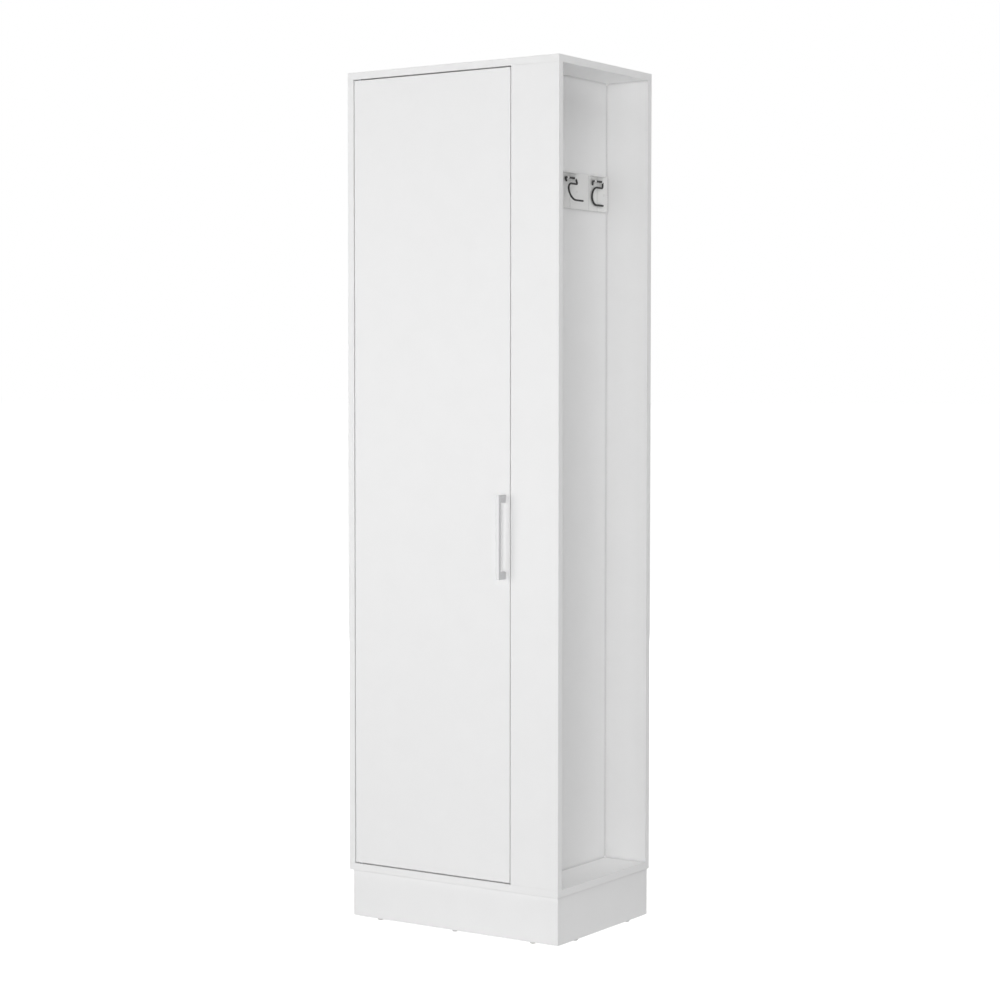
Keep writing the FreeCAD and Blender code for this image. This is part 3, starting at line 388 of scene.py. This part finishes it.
def whiteSteelMaterial():
    look = whiteSteel
    material, tree, shader = newMaterial("steel, stove enamelled white")
    place = addNode(tree, "TexCoord").outputs["Object"]
    peel = addNode(tree, "TexNoise", {"Scale": 1 / look["peel"], "Detail": 1.0}, {"Vector": place})
    tint = addNode(tree, "Mix", {"data_type": "RGBA", 6: linear(look["shade"]),
                                 7: linear(look["colour"])}, {0: peel.outputs["Fac"]})
    bump = addNode(tree, "Bump", {"Strength": 0.5, "Distance": look["peelDepth"]},
                   {"Height": peel.outputs["Fac"]})
    setNode(tree, shader, {"Roughness": look["roughness"], "Coat Weight": look["coat"]},
            {"Base Color": tint.outputs[2], "Normal": bump.outputs[0]})
    return material


# Aluminium bar, brushed lengthwise and satin anodised: pale grey metal with long fine lines.
satinAluminium = {
    "colour": "#cbcbcc",
    "shade": "#bfbfc0",
    "lineWidth": 0.5 * mm,    # brushing lines are near 0.05 mm, drawn coarser so that they show
    "lineLength": 40 * mm,
    "lineDepth": 0.004 * mm,
    "roughness": 0.72,
    "roughnessSpread": 0.08,
    "edgeRadius": 0.5 * mm,
}


def satinAluminiumMaterial():
    look = satinAluminium
    material, tree, shader = newMaterial("aluminium, brushed and satin anodised")
    place = addNode(tree, "TexCoord").outputs["Object"]
    along = addNode(tree, "Mapping", {"Scale": (1 / look["lineWidth"], 1 / look["lineWidth"],
                                                1 / look["lineLength"])}, {"Vector": place})
    lines = addNode(tree, "TexNoise", {"Scale": 1.0, "Detail": 3.0}, {"Vector": along.outputs[0]})
    tint = addNode(tree, "Mix", {"data_type": "RGBA", 6: linear(look["shade"]),
                                 7: linear(look["colour"])}, {0: lines.outputs["Fac"]})
    gloss = addNode(tree, "MapRange", {"To Min": look["roughness"] - look["roughnessSpread"],
                                       "To Max": look["roughness"] + look["roughnessSpread"]},
                    {"Value": lines.outputs["Fac"]})
    edge = addNode(tree, "Bevel", {"samples": 6, "Radius": look["edgeRadius"]})
    bump = addNode(tree, "Bump", {"Strength": 0.6, "Distance": look["lineDepth"]},
                   {"Height": lines.outputs["Fac"], "Normal": edge.outputs["Normal"]})
    setNode(tree, shader, {"Metallic": 1.0},
            {"Base Color": tint.outputs[2], "Roughness": gloss.outputs[0], "Normal": bump.outputs[0]})
    return material


# Steel wire, dip coated in black plastic: near black, soft gloss, thickness slightly uneven.
blackWire = {
    "colour": "#141415",
    "shade": "#1b1b1c",
    "ripple": 2.5 * mm,
    "rippleDepth": 0.03 * mm,
    "roughness": 0.52,
    "roughnessSpread": 0.08,
    "ior": 1.5,
}


def blackWireMaterial():
    look = blackWire
    material, tree, shader = newMaterial("steel wire, dip coated black")
    place = addNode(tree, "TexCoord").outputs["Object"]
    ripple = addNode(tree, "TexNoise", {"Scale": 1 / look["ripple"], "Detail": 2.0}, {"Vector": place})
    tint = addNode(tree, "Mix", {"data_type": "RGBA", 6: linear(look["shade"]),
                                 7: linear(look["colour"])}, {0: ripple.outputs["Fac"]})
    gloss = addNode(tree, "MapRange", {"To Min": look["roughness"] - look["roughnessSpread"],
                                       "To Max": look["roughness"] + look["roughnessSpread"]},
                    {"Value": ripple.outputs["Fac"]})
    bump = addNode(tree, "Bump", {"Strength": 0.5, "Distance": look["rippleDepth"]},
                   {"Height": ripple.outputs["Fac"]})
    setNode(tree, shader, {"IOR": look["ior"]},
            {"Base Color": tint.outputs[2], "Roughness": gloss.outputs[0], "Normal": bump.outputs[0]})
    return material


# Pressed and sintered ferrite: dull charcoal with dark pores and paler ground specks.
ferrite = {
    "colour": "#37373a",
    "pore": "#1d1d1f",
    "poreSize": 0.5 * mm,
    "depth": 0.03 * mm,
    "roughness": 0.7,
    "edgeRadius": 0.3 * mm,
}


def ferriteMaterial():
    look = ferrite
    material, tree, shader = newMaterial("ferrite, pressed and sintered")
    place = addNode(tree, "TexCoord").outputs["Object"]
    pores = addNode(tree, "TexNoise", {"Scale": 1 / look["poreSize"], "Detail": 4.0}, {"Vector": place})
    deep = addNode(tree, "MapRange", {"From Min": 0.35, "From Max": 0.6},
                   {"Value": pores.outputs["Fac"]})
    tint = addNode(tree, "Mix", {"data_type": "RGBA", 6: linear(look["pore"]),
                                 7: linear(look["colour"])}, {0: deep.outputs[0]})
    edge = addNode(tree, "Bevel", {"samples": 4, "Radius": look["edgeRadius"]})
    bump = addNode(tree, "Bump", {"Strength": 0.6, "Distance": look["depth"]},
                   {"Height": deep.outputs[0], "Normal": edge.outputs["Normal"]})
    setNode(tree, shader, {"Roughness": look["roughness"]},
            {"Base Color": tint.outputs[2], "Normal": bump.outputs[0]})
    return material


finishes = {
    "white_board": whiteBoardMaterial(),
    "beech": beechMaterial(),
    "white_plastic": whitePlasticMaterial(),
    "grey_plastic": glidePlasticMaterial(),
    "zinc_steel": zincSteelMaterial(),
    "white_steel": whiteSteelMaterial(),
    "satin_aluminium": satinAluminiumMaterial(),
    "black_coated_wire": blackWireMaterial(),
    "ferrite": ferriteMaterial(),
}
for part in frame["record"]["subparts"]:
    node = frame["nodes"][part["node"]]
    node.data.materials.clear()
    node.data.materials.append(finishes[part["material_slot"]])
print("finishes made:", len(finishes))


facing = 0.99                 # how nearly a face or an edge has to point the asked way
smoothUnder = 30.0            # degrees between faces, past which an edge stays sharp


def looks(x=0, y=0, z=0):  # a test for faces that look this way
    return lambda middle, normal: normal.dot(Vector((x, y, z))) > facing


def runs(x=0, y=0, z=0):  # a test for edges that run this way
    return lambda middle, along: abs(along.dot(Vector((x, y, z)))) > facing


def begin(name):  # takes the newly added primitive into edit mode
    piece = bpy.context.object
    piece.name = piece.data.name = name
    bpy.ops.object.transform_apply(location=True, rotation=True, scale=True)
    bpy.ops.object.mode_set(mode="EDIT")
    return piece


def select(piece, kind, test):  # the test gets a face's or an edge's middle and direction
    bpy.ops.mesh.select_mode(type={"edges": "EDGE", "faces": "FACE"}[kind])
    bpy.ops.mesh.select_all(action="DESELECT")
    mesh = bmesh.from_edit_mesh(piece.data)
    for element in getattr(mesh, kind):
        if kind == "edges":
            start, end = element.verts[0].co, element.verts[1].co
            middle, way = (start + end) / 2, (start - end).normalized()
        else:
            middle, way = element.calc_center_median(), element.normal
        if test(middle, way):
            element.select_set(True)
    mesh.select_flush_mode()
    bmesh.update_edit_mesh(piece.data)


def extrude(x=0.0, y=0.0, z=0.0):
    bpy.ops.mesh.extrude_region_move(TRANSFORM_OT_translate={"value": (x, y, z)})


def resize(factor, centre):  # in X and Y alone
    bpy.ops.transform.resize(value=(factor, factor, 1.0), center_override=centre)


def closeUp():  # all faces outwards, then back to object mode
    bpy.ops.mesh.select_all(action="SELECT")
    bpy.ops.mesh.normals_make_consistent(inside=False)
    bpy.ops.object.mode_set(mode="OBJECT")


def selectOnly(piece):
    bpy.ops.object.select_all(action="DESELECT")
    piece.select_set(True)
    bpy.context.view_layer.objects.active = piece


def finishPiece(piece, body, slotName, node):
    selectOnly(piece)
    bpy.ops.object.transform_apply(location=True, rotation=True, scale=True)
    bpy.ops.object.shade_smooth_by_angle(angle=math.radians(smoothUnder))
    piece.data.materials.clear()
    piece.data.materials.append(finishes[slotName])
    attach(piece, body)
    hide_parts(node)


def setCopies(model, places, turn, body, slotName, node):  # turn is in degrees about X, Y and Z
    for count, place in enumerate(places, start=1):
        twin = model.copy()
        twin.data = model.data.copy()
        twin.name = twin.data.name = f"{model.name}{count}"
        bpy.context.scene.collection.objects.link(twin)
        twin.location = place
        twin.rotation_euler = [math.radians(angle) for angle in turn]
        finishPiece(twin, body, slotName, node)
    bpy.data.objects.remove(model)


def cutAway(piece, size, place, turn=0.0, taper=1.0):  # takes a tapered block out of the piece
    bpy.ops.object.select_all(action="DESELECT")
    bpy.ops.mesh.primitive_cube_add(size=1.0, location=(0, 0, 0))
    block = begin("cutter")
    bpy.ops.mesh.select_all(action="SELECT")
    bpy.ops.transform.resize(value=size)
    select(block, "faces", looks(z=-1))
    resize(taper, (0, 0, 0))
    bpy.ops.object.mode_set(mode="OBJECT")
    block.location = place
    block.rotation_euler = (0, 0, math.radians(turn))
    cut = piece.modifiers.new("cut", "BOOLEAN")
    cut.object = block
    selectOnly(piece)
    bpy.ops.object.modifier_apply(modifier=cut.name)
    bpy.data.objects.remove(block)


# broom grips: each is one bent wire, and swings in the rail's knuckles
grip = {
    "wire": 4.0 * mm,
    "around": 20,             # faces round the wire
    "bend": 3.0 * mm,         # centre line radius of the small bends
    "bendSteps": 6,
    "bar": 41.0 * mm,
    "lip": 9.5 * mm,
    "drop": 12.9 * mm,
    "bow": 18.4 * mm,
    "bowSteps": 28,
    "reach": 46.0 * mm,
    "tip": 0.7 * mm,          # rounding of the cut ends
    "tipSteps": 3,
    "tilts": {"front": 17.4, "rear": -2.4},  # degrees at rest, out from a wire that hangs plumb
}


def spinRound(centre, degrees, steps):  # carries the wire's open end round a bend
    bpy.ops.mesh.spin(steps=steps, angle=math.radians(degrees), center=centre, axis=(1, 0, 0))


def roundEnd(piece, y, z, outwards):  # rounds the rim of the wire's end at this place
    faces = looks(*outwards)
    select(piece, "faces", lambda middle, normal: faces(middle, normal)
           and (middle - Vector((0, y, z))).length < grip["wire"])
    bpy.ops.mesh.bevel(offset=grip["tip"], segments=grip["tipSteps"], affect="EDGES")


def bendWire(name):
    bend, bar, drop, bow = grip["bend"], grip["bar"], grip["drop"], grip["bow"]
    bpy.ops.object.select_all(action="DESELECT")
    bpy.ops.mesh.primitive_circle_add(vertices=grip["around"], radius=grip["wire"] / 2,
                                      fill_type="NGON", location=(0, 0, 0))
    piece = begin(name)
    bpy.ops.mesh.select_all(action="SELECT")
    bpy.ops.transform.translate(value=(0, 0, -grip["lip"]))
    extrude(z=grip["lip"] - bend)
    spinRound((0, bend, -bend), 90, grip["bendSteps"])
    extrude(y=bar - 2 * bend)
    spinRound((0, bar - bend, -bend), 90, grip["bendSteps"])
    extrude(z=2 * bend - drop)
    spinRound((0, bar - bend, bend - drop), 90, grip["bendSteps"])
    extrude(y=bow - bar + bend)
    spinRound((0, bow, -drop - bow), -180, grip["bowSteps"])
    extrude(y=grip["reach"] - bow)
    roundEnd(piece, 0, -grip["lip"], (0, 0, -1))
    roundEnd(piece, grip["reach"], -drop - 2 * bow, (0, 1, 0))
    closeUp()
    return piece


for side, tilt in grip["tilts"].items():
    wire = bendWire(side + "GripWire")
    wire.location = Vector(joints[side + "_grip_swing"]["pos_m"]) - Vector((0, grip["bar"] / 2, 0))
    wire.rotation_euler = (0, -math.radians(tilt), 0)
    finishPiece(wire, side + "_grip", "black_coated_wire", side + "_broom_grip")
print("broom grips made")


# floor glides: turned caps nailed under the plinth rails
glide = {
    "diameter": 13.0 * mm,
    "height": 4.0 * mm,
    "foot": 0.835,            # foot to top, across
    "around": 40,
    "rim": 0.9 * mm,
    "rimSteps": 4,
    "nailWell": 2.6 * mm,     # radius
    "nailDepth": 1.0 * mm,
    "nailHead": 2.1 * mm,     # radius
    "headDrop": 1 / 3,        # how far the head stands back out of its well, as a share of the depth
    "crownDrop": 1 / 8,       # how far the head's raised middle stands out further
    "crownInset": 1 / 3,      # of the head's radius
    "places": [(71, 15.5), (265, 15.5), (459, 15.5), (12.5, 87), (12.5, 295), (517.5, 87),
               (517.5, 295), (265, 359.5)],  # x and y for at()
}


def turnGlide():
    radius, height = glide["diameter"] / 2, glide["height"]
    bpy.ops.object.select_all(action="DESELECT")
    bpy.ops.mesh.primitive_cylinder_add(vertices=glide["around"], radius=radius, depth=height,
                                        end_fill_type="NGON", location=(0, 0, height / 2))
    piece = begin("floorGlide")
    select(piece, "faces", looks(z=-1))
    resize(glide["foot"], (0, 0, 0))
    bpy.ops.mesh.bevel(offset=glide["rim"], segments=glide["rimSteps"], affect="EDGES")
    select(piece, "faces", looks(z=-1))
    foot = radius * glide["foot"] - glide["rim"]
    bpy.ops.mesh.inset(thickness=foot - glide["nailWell"])
    extrude(z=glide["nailDepth"])
    bpy.ops.mesh.inset(thickness=glide["nailWell"] - glide["nailHead"])
    extrude(z=-glide["nailDepth"] * glide["headDrop"])
    bpy.ops.mesh.inset(thickness=glide["nailHead"] * glide["crownInset"])
    extrude(z=-glide["nailDepth"] * glide["crownDrop"])
    closeUp()
    return piece


setCopies(turnGlide(), [at(x, y, 0) for x, y in glide["places"]], (0, 0, 0), "carcass", "grey_plastic",
          "floor_glides")
print("floor glides made")


# shelf pins: steel dowels with a thin collar that stops them in the panel
pin = {
    "diameter": 5.0 * mm,
    "length": 18.0 * mm,
    "around": 32,
    "chamfer": 0.5 * mm,
    "chamferSteps": 2,
    "collarStart": 0.1 * mm,  # out of the panel's face
    "collar": 0.6 * mm,
    "collarProud": 0.9 * mm,
    "rows": (80, 312),        # y for at()
    "sides": {"Left": (15, 90), "Right": (413, -90)},  # x for at(), and the turn that points them out
    "shelves": ("lower_shelf", "upper_shelf"),
}


def turnPin():
    bpy.ops.object.select_all(action="DESELECT")
    bpy.ops.mesh.primitive_cylinder_add(vertices=pin["around"], radius=pin["diameter"] / 2,
                                        depth=pin["length"], end_fill_type="NGON", location=(0, 0, 0))
    piece = begin("shelfPin")
    for height in (pin["collarStart"], pin["collarStart"] + pin["collar"]):
        bpy.ops.mesh.select_all(action="SELECT")
        bpy.ops.mesh.bisect(plane_co=(0, 0, height), plane_no=(0, 0, 1))
    middle = pin["collarStart"] + pin["collar"] / 2
    select(piece, "faces", lambda centre, normal: abs(normal.z) < 1 - facing
           and abs(centre.z - middle) < pin["collar"] / 2)
    extrude()
    resize(1 + 2 * pin["collarProud"] / pin["diameter"], (0, 0, 0))
    for end in (-1, 1):
        select(piece, "faces", lambda centre, normal: normal.z * end > facing
               and centre.z * end > pin["length"] / 2 - pin["chamfer"])
        bpy.ops.mesh.bevel(offset=pin["chamfer"], segments=pin["chamferSteps"], affect="EDGES")
    closeUp()
    return piece


pinModel = turnPin()
for side, (face, turn) in pin["sides"].items():
    model = pinModel.copy()
    model.data = pinModel.data.copy()
    model.name = "shelfPin" + side
    bpy.context.scene.collection.objects.link(model)
    places = []
    for shelf in pin["shelves"]:
        rise = Vector((0, 0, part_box(shelf)[0].z - pin["diameter"] / 2))
        places += [at(face, row, 0) + rise for row in pin["rows"]]
    setCopies(model, places, (0, turn, 0), "carcass", "zinc_steel", "shelf_pins")
bpy.data.objects.remove(pinModel)
print("shelf pins made")


# screws: each is modelled head up with its head's top at the origin
anyScrew = {
    "around": 36,
    "crossTaper": 0.55,       # foot of the recess's cutter to its top, across
}
handleScrew = {
    "shank": 4.0 * mm,
    "length": 24.0 * mm,
    "head": 8.0 * mm,
    "headHeight": 2.2 * mm,
    "neck": 8.0 * mm,         # across the head's underside
    "rim": 1.1 * mm,
    "rimSteps": 5,
    "cross": 4.4 * mm,
    "crossWidth": 1.0 * mm,
    "crossDepth": 1.5 * mm,
    "across": 398.5,          # x for at()
    "heights": (755, 912),    # z for at()
}
railScrew = {
    "shank": 3.0 * mm,
    "length": 12.5 * mm,
    "head": 6.0 * mm,
    "headHeight": 1.5 * mm,
    "neck": 3.0 * mm,
    "rim": 0.1 * mm,
    "rimSteps": 1,
    "cross": 3.2 * mm,
    "crossWidth": 0.7 * mm,
    "crossDepth": 1.1 * mm,
    "places": [(431, 227, 1550), (431, 336, 1550)],  # for at()
}
strikeScrew = {
    "shank": 2.4 * mm,
    "length": 3.0 * mm,
    "head": 4.8 * mm,
    "headHeight": 1.0 * mm,
    "neck": 2.6 * mm,
    "rim": 0.1 * mm,
    "rimSteps": 1,
    "cross": 2.8 * mm,
    "crossWidth": 0.6 * mm,
    "crossDepth": 0.8 * mm,
    "proud": 0.05 * mm,       # of the strike plate
}


def turnScrew(name, screw):
    low = -screw["headHeight"]
    bpy.ops.object.select_all(action="DESELECT")
    bpy.ops.mesh.primitive_cylinder_add(vertices=anyScrew["around"], radius=screw["shank"] / 2,
                                        depth=screw["length"], end_fill_type="NGON",
                                        location=(0, 0, low - screw["length"] / 2))
    piece = begin(name)
    select(piece, "faces", looks(z=1))
    if screw["neck"] > screw["shank"]:
        extrude()
        resize(screw["neck"] / screw["shank"], (0, 0, low))
    extrude(z=screw["headHeight"])
    resize(screw["head"] / screw["neck"], (0, 0, 0))
    bpy.ops.mesh.bevel(offset=screw["rim"], segments=screw["rimSteps"], affect="EDGES")
    closeUp()
    for turn in (0, 90):
        recess = (screw["cross"], screw["crossWidth"], 2 * screw["crossDepth"])
        cutAway(piece, recess, (0, 0, 0), turn, anyScrew["crossTaper"])
    return piece


doorRear = Vector((0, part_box("door_panel")[1].y - frontLeft.y, 0))
headTop = doorRear + Vector((0, handleScrew["headHeight"], 0))
setCopies(turnScrew("handleScrew", handleScrew),
          [at(handleScrew["across"], 0, z) + headTop for z in handleScrew["heights"]],
          (-90, 0, 0), "door", "zinc_steel", "handle_screws")
setCopies(turnScrew("railScrew", railScrew), [at(*place) for place in railScrew["places"]],
          (0, 90, 0), "carcass", "white_steel", "grip_rail_screws")
print("screws made")


# magnetic catches: moulded housing, magnet between two steel poles, strike plate on the door
catch = {
    "middles": (369, 1539),   # z for at()
    "across": 406.5,          # x for at(), in the middle of the housing
    "front": 16.5,            # y for at()
    "size": (13.0 * mm, 24.0 * mm, 46.0 * mm),
    "corner": 1.2 * mm,
    "cornerSteps": 3,
    "slot": 1.2 * mm,         # front to back, of the two slots through the housing
    "slotHeight": 1 / 3,      # of the housing's height
    "slotBack": 0.72,         # of the housing's depth
    "slotRise": 0.3,          # of the housing's height, up and down from its middle
    "magnet": (7.0 * mm, 14.0 * mm, 34.0 * mm),
    "magnetEdge": 0.4 * mm,
    "magnetSteps": 2,
    "pole": 1.3 * mm,
    "poleShort": 1.0 * mm,    # each pole's ends inside the magnet's
    "poleRound": 1.5 * mm,
    "poleRoundSteps": 4,
    "poleEdge": 0.15 * mm,
    "poleEdgeSteps": 1,
    "strike": (11.0 * mm, 1.2 * mm, 38.0 * mm),
    "strikeAcross": 407.0,    # x for at(), in the middle of the plate
    "strikeRound": 2.5 * mm,
    "strikeRoundSteps": 6,
    "strikeEdge": 0.2 * mm,
    "strikeEdgeSteps": 2,
}


def blockAt(name, size, middleY):  # a block with its front face at y = 0, ready for editing
    bpy.ops.object.select_all(action="DESELECT")
    bpy.ops.mesh.primitive_cube_add(size=1.0, location=(0, 0, 0))
    piece = begin(name)
    bpy.ops.mesh.select_all(action="SELECT")
    bpy.ops.transform.resize(value=size)
    bpy.ops.transform.translate(value=(0, middleY, 0))
    return piece


def mouldHousing():
    width, depth, height = catch["size"]
    piece = blockAt("catchHousing", catch["size"], depth / 2)
    select(piece, "edges", lambda middle, along: True)
    bpy.ops.mesh.bevel(offset=catch["corner"], segments=catch["cornerSteps"], affect="EDGES")
    closeUp()
    magnetWidth, magnetDepth, magnetHeight = catch["magnet"]
    cutAway(piece, (magnetWidth, 2 * magnetDepth, magnetHeight), (0, 0, 0))
    slot = (2 * width, catch["slot"], height * catch["slotHeight"])
    for end in (-1, 1):
        cutAway(piece, slot, (0, depth * catch["slotBack"], end * height * catch["slotRise"]))
    return piece


def pressMagnet():
    width, depth, height = catch["magnet"]
    core = (width - 2 * catch["pole"], depth, height)
    piece = blockAt("catchMagnet", core, depth / 2)
    select(piece, "edges", lambda middle, along: True)
    bpy.ops.mesh.bevel(offset=catch["magnetEdge"], segments=catch["magnetSteps"], affect="EDGES")
    closeUp()
    return piece


def stampPole():
    width, depth, height = catch["magnet"]
    piece = blockAt("catchPole", (catch["pole"], depth, height - 2 * catch["poleShort"]), depth / 2)
    select(piece, "edges", runs(x=1))
    bpy.ops.mesh.bevel(offset=catch["poleRound"], segments=catch["poleRoundSteps"], affect="EDGES")
    select(piece, "edges", lambda middle, along: abs(along.x) < 1 - facing)
    bpy.ops.mesh.bevel(offset=catch["poleEdge"], segments=catch["poleEdgeSteps"], affect="EDGES")
    closeUp()
    return piece


def stampStrike():
    piece = blockAt("strikePlate", catch["strike"], catch["strike"][1] / 2)
    select(piece, "edges", runs(y=1))
    bpy.ops.mesh.bevel(offset=catch["strikeRound"], segments=catch["strikeRoundSteps"], affect="EDGES")
    select(piece, "faces", looks(y=1))
    bpy.ops.mesh.bevel(offset=catch["strikeEdge"], segments=catch["strikeEdgeSteps"], affect="EDGES")
    closeUp()
    return piece


catchPlaces = [at(catch["across"], catch["front"], z) for z in catch["middles"]]
setCopies(mouldHousing(), catchPlaces, (0, 0, 0), "carcass", "white_plastic", "catch_housings")
setCopies(pressMagnet(), catchPlaces, (0, 0, 0), "carcass", "ferrite", "catch_magnets")
poleStep = Vector(((catch["magnet"][0] - catch["pole"]) / 2, 0, 0))
polePlaces = [place + poleStep * side for place in catchPlaces for side in (-1, 1)]
setCopies(stampPole(), polePlaces, (0, 0, 0), "carcass", "zinc_steel", "catch_magnets")
strikePlaces = [at(catch["strikeAcross"], 0, z) + doorRear for z in catch["middles"]]
setCopies(stampStrike(), strikePlaces, (0, 0, 0), "door", "zinc_steel", "catch_strike_plates")
strikeScrewTop = Vector((0, catch["strike"][1] + strikeScrew["proud"], 0))
setCopies(turnScrew("strikeScrew", strikeScrew), [place + strikeScrewTop for place in strikePlaces],
          (-90, 0, 0), "door", "zinc_steel", "catch_strike_plates")
print("catches made")
